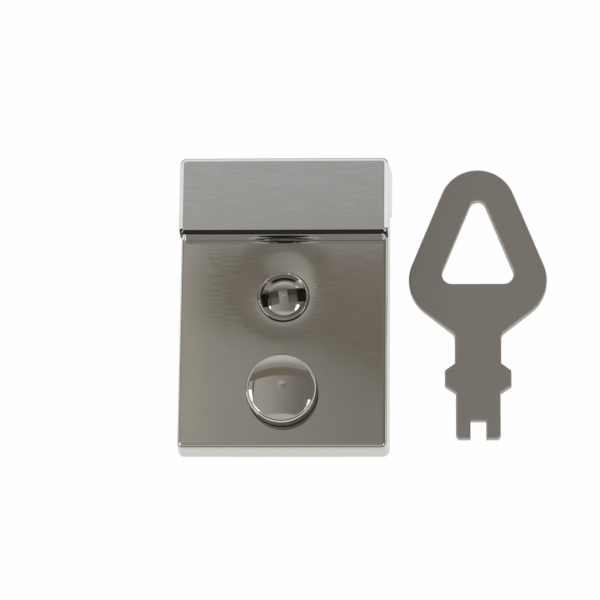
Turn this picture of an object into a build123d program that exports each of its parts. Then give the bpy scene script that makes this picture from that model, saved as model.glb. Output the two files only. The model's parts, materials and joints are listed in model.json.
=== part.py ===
"""Briefcase lock with a lift-off hasp, a push button, a turning key barrel, a backing plate and a flat key.

Frame: millimetres, +Z out of the lock's face, +Y towards the hasp, +X to the right.
The origin is the centre of the body shell's rear rim, the plane that lies on the case's leather.
The lock lies face up on the tips of its four prongs, and the key lies beside it on the same surface.
"""

import os
from math import cos, pi, radians, sin, sqrt, tan

from build123d import *

# Body shell: a drawn sheet cover, open at the back
body_width = 31.6
body_height = 36.0
body_depth = 4.8
body_draft = 4.0
body_sheet = 0.5
body_corner = 1.1
body_edge_radius = 0.7

# Key barrel
barrel_from_top = 12.6
plug_radius = 3.4
plug_running_gap = 0.05
sleeve_wall = 0.3
sleeve_hole_gap = 0.02
sleeve_hole_round = 0.35
sleeve_rise = 0.45
sleeve_shoulder_radius = 4.4
sleeve_shoulder_thickness = 0.55
sleeve_lip_radius = 0.1
dish_radius = 8.8
dish_depth = 0.18
dish_above_barrel = 1.5
plug_edge_drop = 0.85
plug_dome_rise = 0.15
plug_tail_radius = 2.2
plug_neck_radius = 2.45
plug_neck_flat = 2.0
keyway_gap = 0.5
keyway_post_width = 1.35
keyway_post_radius = 0.2
keyway_floor = 0.5
plug_rest_turn = 8.5

# Push button
button_from_bottom = 8.8
button_radius = 5.25
button_face_gap = 0.1
button_height = 4.1
button_dome_rise = 1.2
button_edge_radius = 0.8
button_roof = 1.65
button_wall = 0.4
button_travel_in = 0.9
button_travel_out = 0.6
stop_ring_radius = 5.85
stop_ring_bore = 2.9
stop_ring_thickness = 0.5
ramp_width = 3.4
ramp_gap = 0.06
ramp_spring_gap = 0.25
ramp_window_gap = 0.7

# Button spring and its guide post
button_spring_wire = 0.4
button_spring_radius = 2.1
button_spring_turns = 5
guide_post_radius = 1.2
guide_post_neck_radius = 0.8
guide_post_tip_gap = 0.4
guide_post_head_radius = 1.3
guide_post_head_height = 0.15
guide_post_chamfer = 0.3
post_plate_width = 4.4
post_plate_thickness = 0.4
post_plate_reach = 1.8
hook_gap = 0.1

# Base plate: zinc plated channel with four prongs
base_sheet = 0.6
base_flat_z = 0.6
base_rib_z = 0.15
base_flange_z = 1.3
base_flat_half = 6.3
base_rib_inner = 6.75
base_rib_outer = 7.5
base_flange_inner = 8.4
base_half_width = 9.6
base_below_button = 5.7
base_above_barrel = 3.6
collar_radius = 2.9
collar_z = 0.15
tail_hole_gap = 0.06
stiffener_length = 2.4
stiffener_gap = 0.8
stiffener_width = 0.35
stiffener_rise = 0.15
stiffener_spacing = 1.2
anchor_slot_above_button = 3.4
anchor_slot_width = 4.2
anchor_slot_height = 1.0
ramp_window_reach = 4.7
ramp_window_start = 1.8
corner_notch_x = 7.5
corner_notch_radius = 1.1
prong_above_barrel = 1.3
prong_below_button = 0.5
prong_width = 3.4
prong_tip_width = 2.4
prong_taper = 1.2
prong_length = 4.2

# Latch plate
latch_sheet = 0.8
latch_gap = 0.1
latch_half_width = 6.6
latch_below_button = 4.9
latch_nose_x = 5.5
latch_nose_width = 2.6
latch_nose_gap = 0.08
latch_bar_height = 3.2
latch_bar_below_tongue = 1.8
latch_bar_half = 8.2
latch_bar_chamfer = 1.4
latch_eye_size = 1.5
latch_eye_inset = 0.5
latch_lens_width = 4.4
latch_lens_height = 1.1
latch_lens_below_tongue = 2.9
latch_tail_half = 2.1
latch_tail_below_button = 7.0
tail_window_gap = 0.2
spring_window_half = 5.1
spring_window_below_button = 3.4
spring_window_above_button = 3.6

# Latch guides and latch springs
guide_x = 5.1
guide_radius = 0.8
guide_slot_gap = 0.05
guide_head_gap = 0.02
guide_head_radius = 1.3
guide_head_height = 0.4
guide_rear_head_radius = 1.1
guide_rear_head_height = 0.2
latch_spring_x = 7.3
latch_spring_radius = 0.55
latch_spring_wire = 0.25
latch_spring_turns = 7
spring_lug_thickness = 0.6
spring_lug_inner = 6.7
spring_lug_outer = 7.95
fixed_lug_root = 8.7
wing_reach = 7.3
fixed_lug_above_button = 2.7
lug_spacing = 6.2
lug_top_gap = 0.35
spring_seat_gap = 0.08

# Spacer posts between the base plate and the shell's face
spacer_inset = 0.7
spacer_radius = 0.55
spacer_below_button = 4.1
spacer_above_barrel = 2.0

# Lock cam on the plug's neck
cam_gap = 0.1
cam_thickness = 0.65
cam_hub_radius = 3.3
cam_bore_gap = 0.02
cam_finger_width = 1.6
cam_finger_reach = 4.7
cam_finger_angle = -143.5
plug_seat_gap = 0.02

# Hasp: drawn cover with a thumb scoop, and a staple plate inside it
hasp_overhang = 0.3
hasp_lap = 4.15
hasp_height = 12.8
hasp_rim_z = 2.4
hasp_face_z = 7.95
hasp_draft = 5.0
hasp_sheet = 0.5
hasp_corner = 1.5
hasp_bevel = 0.6
hasp_edge_radius = 0.12
hasp_body_gap = 0.1
hasp_clear_y = 0.35
scoop_length = 11.0
scoop_depth = 0.35
scoop_radius = 1.9
scoop_z = 6.15
staple_sheet = 0.8
staple_half_width = 9.5
staple_inset = 2.15
tongue_width = 4.4
tongue_from_top = 2.9
tongue_tip_z = 0.5
tongue_window_gap_x = 0.3
tongue_window_gap_z = 0.25
tongue_slot_gap = 0.2
flap_prong_inset = 5.15
flap_prong_width = 3.0
flap_prong_sheet = 0.6
flap_prong_tip_z = -1.2

# Backing plate with four notches for the prongs
backing_width = 27.5
backing_sheet = 0.8
backing_notch_shift = 0.325
backing_notch_height = 5.3
backing_notch_taper = 0.4
backing_prong_gap = 0.4
backing_top_land = 10.1
backing_low_land = 5.1
backing_corner = 4.8

# Flat key, measured from its tip
key_x = 29.0
key_tip_y = -14.65
key_thickness = 1.6
key_edge_radius = 0.25
key_length = 42.0
bow_half_width = 10.45
bow_flank_angle = 22.0
bow_under_angle = 51.6
bow_top_radius = 5.8
bow_side_radius = 6.3
hole_apex_height = 37.1
hole_apex_radius = 1.25
hole_base_height = 24.0
hole_base_radius = 1.5
shank_half_width = 3.5
shoulder_top = 11.6
shoulder_bottom = 7.0
shoulder_half_width = 5.0
shoulder_chamfer = 1.1
throat_radius = 1.2
blade_gap = 0.05
blade_corner = 0.4
tip_notch_gap = 0.5
tip_notch_depth = 2.76

# How far a cut runs on past the face that it opens
overshoot = 1.0

os.makedirs("parts", exist_ok=True)

# Places along Y, all from the body's height
body_top_y = body_height / 2
body_bottom_y = -body_height / 2
barrel_y = body_top_y - barrel_from_top
button_y = body_bottom_y + button_from_bottom
tongue_y = body_top_y - tongue_from_top
hasp_low = body_top_y - hasp_lap
hasp_high = hasp_low + hasp_height
staple_high = hasp_high - staple_inset
flap_prong_y = hasp_high - flap_prong_inset
base_low = button_y - base_below_button
base_high = barrel_y + base_above_barrel
prong_upper_y = barrel_y + prong_above_barrel
prong_lower_y = button_y - prong_below_button
anchor_slot_y = button_y + anchor_slot_above_button
ramp_window_low = button_y - ramp_window_reach
ramp_window_high = button_y - ramp_window_start
latch_low = button_y - latch_below_button
latch_bar_high = tongue_y - latch_bar_below_tongue
latch_bar_low = latch_bar_high - latch_bar_height
latch_lens_y = tongue_y - latch_lens_below_tongue
latch_tail_low = button_y - latch_tail_below_button
spring_window_low = button_y - spring_window_below_button
spring_window_high = button_y + spring_window_above_button
fixed_lug_y = button_y + fixed_lug_above_button
moving_lug_y = fixed_lug_y + lug_spacing
spacer_low_y = button_y - spacer_below_button
spacer_high_y = barrel_y + spacer_above_barrel

# Levels and widths that several pieces share
hasp_width = body_width + 2 * hasp_overhang
spacer_x = base_half_width - spacer_inset
body_inner_z = body_depth - body_sheet
floor_z = -prong_length
base_front_z = base_flat_z + base_sheet
flange_front_z = base_flange_z + base_sheet
latch_z = base_front_z + latch_gap
latch_top_z = latch_z + latch_sheet
cam_z = latch_top_z + cam_gap
plug_head_z = cam_z + cam_thickness + cam_gap
keyway_height = key_thickness + keyway_gap
blade_half_width = plug_radius - blade_gap
tip_notch_half_width = keyway_post_width / 2 + tip_notch_gap
sleeve_bore = plug_radius + plug_running_gap
sleeve_radius = sleeve_bore + sleeve_wall
button_top_z = body_depth + button_height
button_inner_z = button_top_z - button_roof
stop_ring_z = body_inner_z - button_travel_out - stop_ring_thickness - latch_gap


def save(piece: BuildPart, name: str) -> None:
    """Label a finished piece and write it."""
    piece.part.label = name
    export_step(piece.part, f"parts/{name}.step")


def sided_box(x_low, x_high, y_low, y_high, z_low, z_high, mode=Mode.ADD):
    """A box between stated faces, added to or cut from the part in hand."""
    middle = ((x_low + x_high) / 2, (y_low + y_high) / 2, (z_low + z_high) / 2)
    with Locations(middle):
        Box(x_high - x_low, y_high - y_low, z_high - z_low, mode=mode)


def across(side, inner, outer) -> list:
    """The low and high X of something that lies on one side of the middle, -1 for left and 1 for right."""
    return sorted((side * inner, side * outer))


def rod(x, y, z_low, z_high, radius, mode=Mode.ADD):
    """A round bar along Z between two heights, added to or cut from the part in hand."""
    with Locations((x, y, (z_low + z_high) / 2)):
        Cylinder(radius, z_high - z_low, mode=mode)


# Body shell
tongue_slot_low = tongue_y - tongue_slot_gap
tongue_slot_high = tongue_y + staple_sheet + tongue_slot_gap
with BuildPart() as body_shell:
    with BuildSketch(Plane.XY):
        RectangleRounded(body_width, body_height, body_corner)
    extrude(amount=body_depth, taper=body_draft)
    fillet(body_shell.faces().sort_by(Axis.Z)[-1].edges(), body_edge_radius)
    dish_y = barrel_y + dish_above_barrel
    with BuildSketch(Plane(origin=(0, dish_y, body_depth), x_dir=(1, 0, 0), z_dir=(0, -1, 0))):
        with BuildLine():
            TangentArc((dish_radius, 0), (0, -dish_depth), tangent=(-1, 0))
            Polyline((0, -dish_depth), (0, overshoot), (dish_radius, overshoot), (dish_radius, 0))
        make_face()
    revolve(axis=Axis((0, dish_y, 0), (0, 0, 1)), mode=Mode.SUBTRACT)
    with BuildSketch(Plane.XY):
        RectangleRounded(body_width - 2 * body_sheet, body_height - 2 * body_sheet, body_corner - body_sheet)
    extrude(amount=body_inner_z, taper=body_draft, mode=Mode.SUBTRACT)
    under_face = body_inner_z - overshoot
    above_face = body_depth + overshoot
    hole_radius = sleeve_radius + sleeve_hole_gap
    hole_lip_radius = hole_radius + sleeve_hole_round
    rod(0, barrel_y, under_face, above_face, hole_radius, Mode.SUBTRACT)
    with BuildSketch(Plane(origin=(0, barrel_y, body_depth), x_dir=(1, 0, 0), z_dir=(0, -1, 0))):
        with BuildLine():
            TangentArc((hole_lip_radius, 0), (hole_radius, -sleeve_hole_round), tangent=(-1, 0))
            Polyline((hole_radius, -sleeve_hole_round), (0, -sleeve_hole_round), (0, overshoot))
            Polyline((0, overshoot), (hole_lip_radius, overshoot), (hole_lip_radius, 0))
        make_face()
    revolve(axis=Axis((0, barrel_y, 0), (0, 0, 1)), mode=Mode.SUBTRACT)
    rod(0, button_y, under_face, above_face, button_radius + button_face_gap, Mode.SUBTRACT)
    slot_half = tongue_width / 2 + tongue_slot_gap
    for side in (-1, 1):
        slot_sides = across(side, latch_nose_x - slot_half, latch_nose_x + slot_half)
        sided_box(*slot_sides, tongue_slot_low, tongue_slot_high, under_face, above_face, Mode.SUBTRACT)
save(body_shell, "body_shell")

# Base plate: one bent profile along Y, then its holes, stiffeners, lugs and prongs
rear_profile = [
    (-base_half_width, base_flange_z),
    (-base_flange_inner, base_flange_z),
    (-base_rib_outer, base_rib_z),
    (-base_rib_inner, base_rib_z),
    (-base_flat_half, base_flat_z),
    (base_flat_half, base_flat_z),
    (base_rib_inner, base_rib_z),
    (base_rib_outer, base_rib_z),
    (base_flange_inner, base_flange_z),
    (base_half_width, base_flange_z),
]
front_profile = [(x, z + base_sheet) for x, z in reversed(rear_profile)]
lug_top_z = body_inner_z - lug_top_gap
fixed_lug = (fixed_lug_y - spring_lug_thickness / 2, fixed_lug_y + spring_lug_thickness / 2)
base_through = (base_flat_z - overshoot, base_front_z + overshoot)
tail_hole_radius = plug_tail_radius + tail_hole_gap
with BuildPart() as base_plate:
    with BuildSketch(Plane.XZ.offset(-base_high)):
        with BuildLine():
            Polyline(*rear_profile, *front_profile, close=True)
        make_face()
    extrude(amount=base_high - base_low)
    rod(0, barrel_y, collar_z, base_flat_z + base_sheet / 2, collar_radius)
    rod(0, barrel_y, collar_z - overshoot, base_front_z + overshoot, tail_hole_radius, Mode.SUBTRACT)
    stiffener_high = barrel_y - collar_radius - stiffener_gap
    stiffener_half = (stiffener_spacing + stiffener_width) / 2
    for side in (-1, 1):
        sided_box(
            *across(side, stiffener_half - stiffener_width, stiffener_half),
            stiffener_high - stiffener_length,
            stiffener_high,
            base_flat_z - stiffener_rise,
            base_flat_z + base_sheet / 2,
        )
        notch_through = (base_rib_z - overshoot, flange_front_z + overshoot)
        rod(side * corner_notch_x, base_low, *notch_through, corner_notch_radius, Mode.SUBTRACT)
        rod(side * guide_x, barrel_y, *base_through, guide_radius, Mode.SUBTRACT)
        lug_sides = across(side, spring_lug_inner, fixed_lug_root)
        sided_box(*lug_sides, *fixed_lug, base_flat_z + base_sheet / 2, lug_top_z)
    for prong_y in (prong_upper_y, prong_lower_y):
        for plane_x in (-base_half_width, base_half_width - base_sheet):
            with BuildSketch(Plane.YZ.offset(plane_x)):
                with BuildLine():
                    Polyline(
                        (prong_y - prong_width / 2, flange_front_z),
                        (prong_y - prong_width / 2, floor_z + prong_taper),
                        (prong_y - prong_tip_width / 2, floor_z),
                        (prong_y + prong_tip_width / 2, floor_z),
                        (prong_y + prong_width / 2, floor_z + prong_taper),
                        (prong_y + prong_width / 2, flange_front_z),
                        close=True,
                    )
                make_face()
            extrude(amount=base_sheet)
    rod(0, button_y, *base_through, guide_post_neck_radius, Mode.SUBTRACT)
    sided_box(
        -anchor_slot_width / 2,
        anchor_slot_width / 2,
        anchor_slot_y - anchor_slot_height / 2,
        anchor_slot_y + anchor_slot_height / 2,
        *base_through,
        Mode.SUBTRACT,
    )
    ramp_window_half = ramp_width / 2 + ramp_window_gap
    sided_box(
        -ramp_window_half, ramp_window_half, ramp_window_low, ramp_window_high, *base_through, Mode.SUBTRACT
    )
save(base_plate, "base_plate")

# Barrel sleeve: a thin tube through the face with a shoulder under it
sleeve_top_z = body_depth + sleeve_rise
with BuildPart() as barrel_sleeve:
    rod(0, barrel_y, plug_head_z, sleeve_top_z, sleeve_radius)
    rod(0, barrel_y, body_inner_z - sleeve_shoulder_thickness, body_inner_z, sleeve_shoulder_radius)
    rod(0, barrel_y, plug_head_z - overshoot, sleeve_top_z + overshoot, sleeve_bore, Mode.SUBTRACT)
    fillet(barrel_sleeve.faces().sort_by(Axis.Z)[-1].edges(), sleeve_lip_radius)
save(barrel_sleeve, "barrel_sleeve")

# Key plug: domed head, flatted neck and round tail, with a keyway either side of a post
plug_edge_z = body_depth - plug_edge_drop
plug_top_z = body_depth + plug_dome_rise
plug_tail_z = base_flat_z
keyway_floor_z = plug_tail_z + keyway_floor
barrel_place = Location((0, barrel_y, 0), (0, 0, plug_rest_turn))
with BuildPart() as plug_blank:
    with BuildSketch(Plane.XZ):
        with BuildLine():
            TangentArc((0, plug_top_z), (plug_radius, plug_edge_z), tangent=(1, 0))
            Polyline(
                (0, plug_top_z),
                (0, plug_tail_z),
                (plug_tail_radius, plug_tail_z),
                (plug_tail_radius, base_front_z + plug_seat_gap),
                (plug_neck_radius, base_front_z + plug_seat_gap),
                (plug_neck_radius, plug_head_z),
                (plug_radius, plug_head_z),
                (plug_radius, plug_edge_z),
            )
        make_face()
    revolve(axis=Axis.Z)
    keyway_half = keyway_height / 2
    post_half = keyway_post_width / 2
    for side in (-1, 1):
        with BuildSketch(Plane.XY.offset(keyway_floor_z)):
            with Locations((side * (post_half + plug_radius / 2), 0)):
                RectangleRounded(plug_radius, keyway_height, keyway_post_radius)
        extrude(amount=plug_top_z, mode=Mode.SUBTRACT)
        keyway_sides = across(side, plug_radius / 2, plug_radius + overshoot)
        keyway_depth = (plug_head_z, plug_top_z + overshoot)
        sided_box(*keyway_sides, -keyway_half, keyway_half, *keyway_depth, Mode.SUBTRACT)
    sided_box(plug_neck_flat, plug_radius, -plug_radius, plug_radius, cam_z, plug_head_z, Mode.SUBTRACT)
with BuildPart() as key_plug:
    with Locations(barrel_place):
        add(plug_blank.part)
save(key_plug, "key_plug")

# Lock cam: a hub on the plug's flatted neck, with a finger that swings below the barrel
with BuildPart() as cam_blank:
    with BuildSketch(Plane.XY.offset(cam_z)):
        Circle(cam_hub_radius)
        with Locations(Rotation(0, 0, cam_finger_angle)):
            with Locations(((cam_finger_reach - cam_finger_width / 2) / 2, 0)):
                SlotOverall(cam_finger_reach + cam_finger_width / 2, cam_finger_width)
    extrude(amount=cam_thickness)
    with BuildSketch(Plane.XY.offset(cam_z)):
        Circle(plug_neck_radius + cam_bore_gap)
        with Locations((plug_neck_flat + cam_bore_gap + plug_radius / 2, 0)):
            Rectangle(plug_radius, 2 * plug_radius, mode=Mode.SUBTRACT)
    extrude(amount=cam_thickness, mode=Mode.SUBTRACT)
with BuildPart() as lock_cam:
    with Locations(barrel_place):
        add(cam_blank.part)
save(lock_cam, "lock_cam")

# Button cap: a drawn cup with a domed top and a rounded rim
cap_foot_z = stop_ring_z + stop_ring_thickness
button_axis = Axis((0, button_y, 0), (0, 0, 1))
button_section = Plane(origin=(0, button_y, 0), x_dir=(1, 0, 0), z_dir=(0, -1, 0))
dome_edge_z = button_top_z - button_dome_rise
with BuildPart() as button_cap:
    with BuildSketch(button_section) as cap_half:
        with BuildLine():
            TangentArc((0, button_top_z), (button_radius, dome_edge_z), tangent=(1, 0))
            Polyline(
                (button_radius, dome_edge_z),
                (button_radius, cap_foot_z),
                (0, cap_foot_z),
                (0, button_top_z),
            )
        make_face()
        rim_corner = cap_half.vertices().group_by(Axis.X)[-1].sort_by(Axis.Y)[-1]
        fillet(rim_corner, button_edge_radius)
    revolve(axis=button_axis)
    rod(0, button_y, cap_foot_z - overshoot, button_inner_z, button_radius - button_wall, Mode.SUBTRACT)
save(button_cap, "button_cap")

# Stop ring: the flange that keeps the button in, with the ramp that drives the latch plate
ramp_line = spring_window_low + latch_top_z + ramp_gap
ramp_high = button_y - button_spring_radius - button_spring_wire / 2 - ramp_spring_gap
ramp_tip_z = ramp_line - ramp_high
with BuildPart() as stop_ring:
    rod(0, button_y, stop_ring_z, cap_foot_z, stop_ring_radius)
    rod(0, button_y, stop_ring_z - overshoot, cap_foot_z + overshoot, stop_ring_bore, Mode.SUBTRACT)
    with BuildSketch(Plane.YZ.offset(-ramp_width / 2)):
        with BuildLine():
            Polyline(
                (ramp_high, ramp_tip_z),
                (ramp_high, cap_foot_z),
                (ramp_line - stop_ring_z, cap_foot_z),
                (ramp_line - stop_ring_z, stop_ring_z),
                close=True,
            )
        make_face()
    extrude(amount=ramp_width)
save(stop_ring, "stop_ring")

# Post plate and guide post: the post is headed over the plate behind the base
post_head_z = base_flat_z - post_plate_thickness
hook_low = anchor_slot_y - anchor_slot_height / 2 + hook_gap
hook_high = anchor_slot_y + hook_gap
hook_half = anchor_slot_width / 2 - hook_gap
with BuildPart() as post_plate:
    plate_half = post_plate_width / 2
    sided_box(-plate_half, plate_half, button_y - post_plate_reach, hook_high, post_head_z, base_flat_z)
    sided_box(-hook_half, hook_half, hook_low, hook_high, base_flat_z, base_front_z)
    rod(0, button_y, base_flat_z - overshoot, base_flat_z + overshoot, guide_post_neck_radius, Mode.SUBTRACT)
save(post_plate, "post_plate")

post_top_z = button_inner_z - button_travel_in - guide_post_tip_gap
with BuildPart() as guide_post:
    rod(0, button_y, base_front_z, post_top_z, guide_post_radius)
    rod(0, button_y, post_head_z, base_front_z, guide_post_neck_radius)
    rod(0, button_y, post_head_z - guide_post_head_height, post_head_z, guide_post_head_radius)
    chamfer(guide_post.faces().sort_by(Axis.Z)[-1].edges(), guide_post_chamfer)
save(guide_post, "guide_post")


def coil(origin, axis, side, radius, wire, length, turns) -> BuildPart:
    """A round wire coil along an axis, as tangent arcs of a quarter turn, with straight ends.

    The wire starts and ends half a wire inside the stated length. The least gap between turns is printed.
    """
    axis_dir = Vector(*axis)
    side_dir = Vector(*side)
    cross_dir = axis_dir.cross(side_dir)
    climb = (length - wire) / turns
    start = Vector(*origin) + axis_dir * (wire / 2)

    def place(turn):
        angle = 2 * pi * turn
        around = side_dir * cos(angle) + cross_dir * sin(angle)
        return start + around * radius + axis_dir * (climb * turn)

    def heading(turn):
        angle = 2 * pi * turn
        forward = cross_dir * cos(angle) - side_dir * sin(angle)
        return (forward * (2 * pi * radius) + axis_dir * climb).normalized()

    tail = place(0) - heading(0) * wire
    with BuildPart() as tube:
        with BuildLine() as path:
            Line(tail, place(0))
            for half_turn in range(2 * turns):
                here = place(half_turn / 2)
                there = place((half_turn + 1) / 2)
                leaving = heading(half_turn / 2)
                arriving = heading((half_turn + 1) / 2)
                chord = there - here
                along = chord.dot(leaving + arriving)
                turned = 2 * (1 - leaving.dot(arriving))
                reach = (sqrt(along**2 + turned * chord.dot(chord)) - along) / turned
                joint = (here + leaving * reach + there - arriving * reach) * 0.5
                TangentArc(here, joint, tangent=leaving)
                TangentArc(joint, there, tangent=there - arriving * reach - joint)
            Line(place(turns), place(turns) + heading(turns) * wire)
        with BuildSketch(Plane(origin=tail, z_dir=heading(0))):
            Circle(wire / 2)
        sweep(path=path.wires()[0])
    steps = 24
    samples = [place(step / steps) for step in range(steps * turns + 1)]
    apart = min((a - b).length for i, a in enumerate(samples) for b in samples[i + steps // 2 :])
    print(f"coil of {turns} turns: least gap between turns {apart - wire:.2f} mm")
    return tube


button_spring = coil(
    origin=(0, button_y, base_front_z + spring_seat_gap),
    axis=(0, 0, 1),
    side=(0, 1, 0),
    radius=button_spring_radius,
    wire=button_spring_wire,
    length=button_inner_z - base_front_z - 2 * spring_seat_gap,
    turns=button_spring_turns,
)
save(button_spring, "button_spring")

# Latch plate: a flat sheet that slides along Y between the base plate and the button's stop ring
nose_tip_y = tongue_y - latch_nose_gap
neck_window_half = plug_neck_radius + tail_window_gap
neck_window_low = barrel_y - neck_window_half - button_travel_out
neck_window_high = barrel_y + neck_window_half + button_travel_in
guide_slot_half = guide_radius + guide_slot_gap
guide_slot_low = barrel_y - guide_slot_half - button_travel_out
guide_slot_high = barrel_y + guide_slot_half + button_travel_in
moving_lug = (moving_lug_y - spring_lug_thickness / 2, moving_lug_y + spring_lug_thickness / 2)
eye_x = latch_bar_half - latch_eye_inset - latch_eye_size / 2
eye_y = latch_bar_low + latch_eye_inset + latch_eye_size / 2


def sided_rectangle(x_low, x_high, y_low, y_high, mode=Mode.ADD):
    """A rectangle between stated sides, added to or cut from the sketch in hand."""
    with Locations(((x_low + x_high) / 2, (y_low + y_high) / 2)):
        Rectangle(x_high - x_low, y_high - y_low, mode=mode)


with BuildPart() as latch_plate:
    with BuildSketch(Plane.XY.offset(latch_z)) as latch_outline:
        sided_rectangle(-latch_half_width, latch_half_width, latch_low, latch_bar_low)
        sided_rectangle(-latch_bar_half, latch_bar_half, latch_bar_low, latch_bar_high)
        chamfer(latch_outline.vertices().group_by(Axis.Y)[-1], latch_bar_chamfer)
        for side in (-1, 1):
            nose_x = side * latch_nose_x
            sided_rectangle(
                nose_x - latch_nose_width / 2, nose_x + latch_nose_width / 2, latch_bar_low, nose_tip_y
            )
        sided_rectangle(-wing_reach, wing_reach, *moving_lug)
        sided_rectangle(-latch_tail_half, latch_tail_half, latch_tail_low + latch_tail_half, latch_low)
        with Locations((0, latch_tail_low + latch_tail_half)):
            Circle(latch_tail_half)
        sided_rectangle(-neck_window_half, neck_window_half, neck_window_low, neck_window_high, Mode.SUBTRACT)
        sided_rectangle(
            -spring_window_half, spring_window_half, spring_window_low, spring_window_high, Mode.SUBTRACT
        )
        with Locations((0, latch_lens_y)):
            SlotOverall(latch_lens_width, latch_lens_height, mode=Mode.SUBTRACT)
        for side in (-1, 1):
            sided_rectangle(
                side * guide_x - guide_slot_half,
                side * guide_x + guide_slot_half,
                guide_slot_low,
                guide_slot_high,
                Mode.SUBTRACT,
            )
            with Locations((side * eye_x, eye_y)):
                Rectangle(latch_eye_size, latch_eye_size, mode=Mode.SUBTRACT)
    extrude(amount=latch_sheet)
    for side in (-1, 1):
        sided_box(*across(side, spring_lug_inner, spring_lug_outer), *moving_lug, latch_top_z, lug_top_z)
save(latch_plate, "latch_plate")

# Guide rivets, latch springs and spacer posts, on both sides
guide_head_z = latch_top_z + guide_head_gap
latch_spring_z = (latch_top_z + lug_top_z) / 2
spring_low_y = fixed_lug[1] + spring_seat_gap
spring_high_y = moving_lug[0] - spring_seat_gap
for side, side_name in ((-1, "left"), (1, "right")):
    with BuildPart() as latch_guide:
        rod(side * guide_x, barrel_y, base_flat_z, guide_head_z, guide_radius)
        rod(side * guide_x, barrel_y, guide_head_z, guide_head_z + guide_head_height, guide_head_radius)
        rear_head_z = base_flat_z - guide_rear_head_height
        rod(side * guide_x, barrel_y, rear_head_z, base_flat_z, guide_rear_head_radius)
    save(latch_guide, f"latch_guide_{side_name}")
    latch_spring = coil(
        origin=(side * latch_spring_x, spring_low_y, latch_spring_z),
        axis=(0, 1, 0),
        side=(0, 0, 1),
        radius=latch_spring_radius,
        wire=latch_spring_wire,
        length=spring_high_y - spring_low_y,
        turns=latch_spring_turns,
    )
    save(latch_spring, f"latch_spring_{side_name}")
    for spacer_y, row_name in ((spacer_low_y, "lower"), (spacer_high_y, "upper")):
        with BuildPart() as spacer_post:
            rod(side * spacer_x, spacer_y, flange_front_z, body_inner_z, spacer_radius)
        save(spacer_post, f"spacer_post_{row_name}_{side_name}")

# Hasp cover: drawn box with flared walls, cut short where it lies over the body, with a thumb scoop
hasp_middle_y = (hasp_low + hasp_high) / 2
hasp_inner_z = hasp_face_z - hasp_sheet
scoop_wall_y = hasp_low + (scoop_z - hasp_rim_z) * tan(radians(hasp_draft))


def scoop_cutter(radius) -> Part:
    """A spindle along X that bites into the hasp's lower wall to the scoop's depth and length."""
    axis_y = scoop_wall_y - (scoop_radius - scoop_depth)
    end_x = scoop_length / 2
    end_radius = radius - scoop_depth
    with BuildPart() as cutter:
        with BuildSketch(Plane((0, axis_y, scoop_z))):
            with BuildLine():
                ThreePointArc((-end_x, end_radius), (0, radius), (end_x, end_radius))
                Polyline((end_x, end_radius), (end_x, 0), (-end_x, 0), (-end_x, end_radius))
            make_face()
        revolve(axis=Axis((0, axis_y, scoop_z), (1, 0, 0)))
    return cutter.part


scoop = scoop_cutter(scoop_radius)
scoop_back = scoop_cutter(scoop_radius + hasp_sheet)
with BuildPart() as hasp_hollow:
    with BuildSketch(Plane.XY.offset(hasp_rim_z)):
        with Locations((0, hasp_middle_y)):
            hollow_height = hasp_high - hasp_low - 2 * hasp_sheet
            RectangleRounded(hasp_width - 2 * hasp_sheet, hollow_height, hasp_corner - hasp_sheet)
    extrude(amount=hasp_inner_z - hasp_rim_z, taper=hasp_draft)
    add(scoop_back, mode=Mode.SUBTRACT)

with BuildPart() as hasp_cover:
    with BuildSketch(Plane.XY.offset(hasp_rim_z)):
        with Locations((0, hasp_middle_y)):
            RectangleRounded(hasp_width, hasp_high - hasp_low, hasp_corner)
    extrude(amount=hasp_face_z - hasp_rim_z, taper=hasp_draft)
    chamfer(hasp_cover.faces().sort_by(Axis.Z)[-1].edges(), hasp_bevel)
    bevel_low_z = hasp_face_z - hasp_bevel
    bevel_edges = hasp_cover.edges().filter_by(lambda e: e.center().Z > bevel_low_z - hasp_edge_radius)
    fillet(bevel_edges.filter_by(lambda e: e.bounding_box().size.Z < hasp_edge_radius), hasp_edge_radius)
    add(scoop, mode=Mode.SUBTRACT)
    add(hasp_hollow.part, mode=Mode.SUBTRACT)
    sided_box(
        -hasp_width,
        hasp_width,
        hasp_low - overshoot,
        body_top_y + hasp_clear_y,
        hasp_rim_z - overshoot,
        body_depth + hasp_body_gap,
        Mode.SUBTRACT,
    )
save(hasp_cover, "hasp_cover")

# Hasp staple: a plate under the cover's face with two windowed tongues and two prongs for the flap
staple_z = hasp_inner_z - staple_sheet
window_half = latch_nose_width / 2 + tongue_window_gap_x
with BuildPart() as hasp_staple:
    sided_box(-staple_half_width, staple_half_width, tongue_y, staple_high, staple_z, hasp_inner_z)
    for side in (-1, 1):
        tongue_sides = across(side, latch_nose_x - tongue_width / 2, latch_nose_x + tongue_width / 2)
        sided_box(*tongue_sides, tongue_y, tongue_y + staple_sheet, tongue_tip_z, hasp_inner_z)
        sided_box(
            *across(side, latch_nose_x - window_half, latch_nose_x + window_half),
            tongue_y - overshoot,
            tongue_y + staple_sheet + overshoot,
            latch_z - tongue_window_gap_z,
            latch_top_z + tongue_window_gap_z,
            Mode.SUBTRACT,
        )
        sided_box(
            *across(side, staple_half_width - flap_prong_sheet, staple_half_width),
            flap_prong_y - flap_prong_width / 2,
            flap_prong_y + flap_prong_width / 2,
            flap_prong_tip_z,
            hasp_inner_z,
        )
save(hasp_staple, "hasp_staple")

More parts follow.
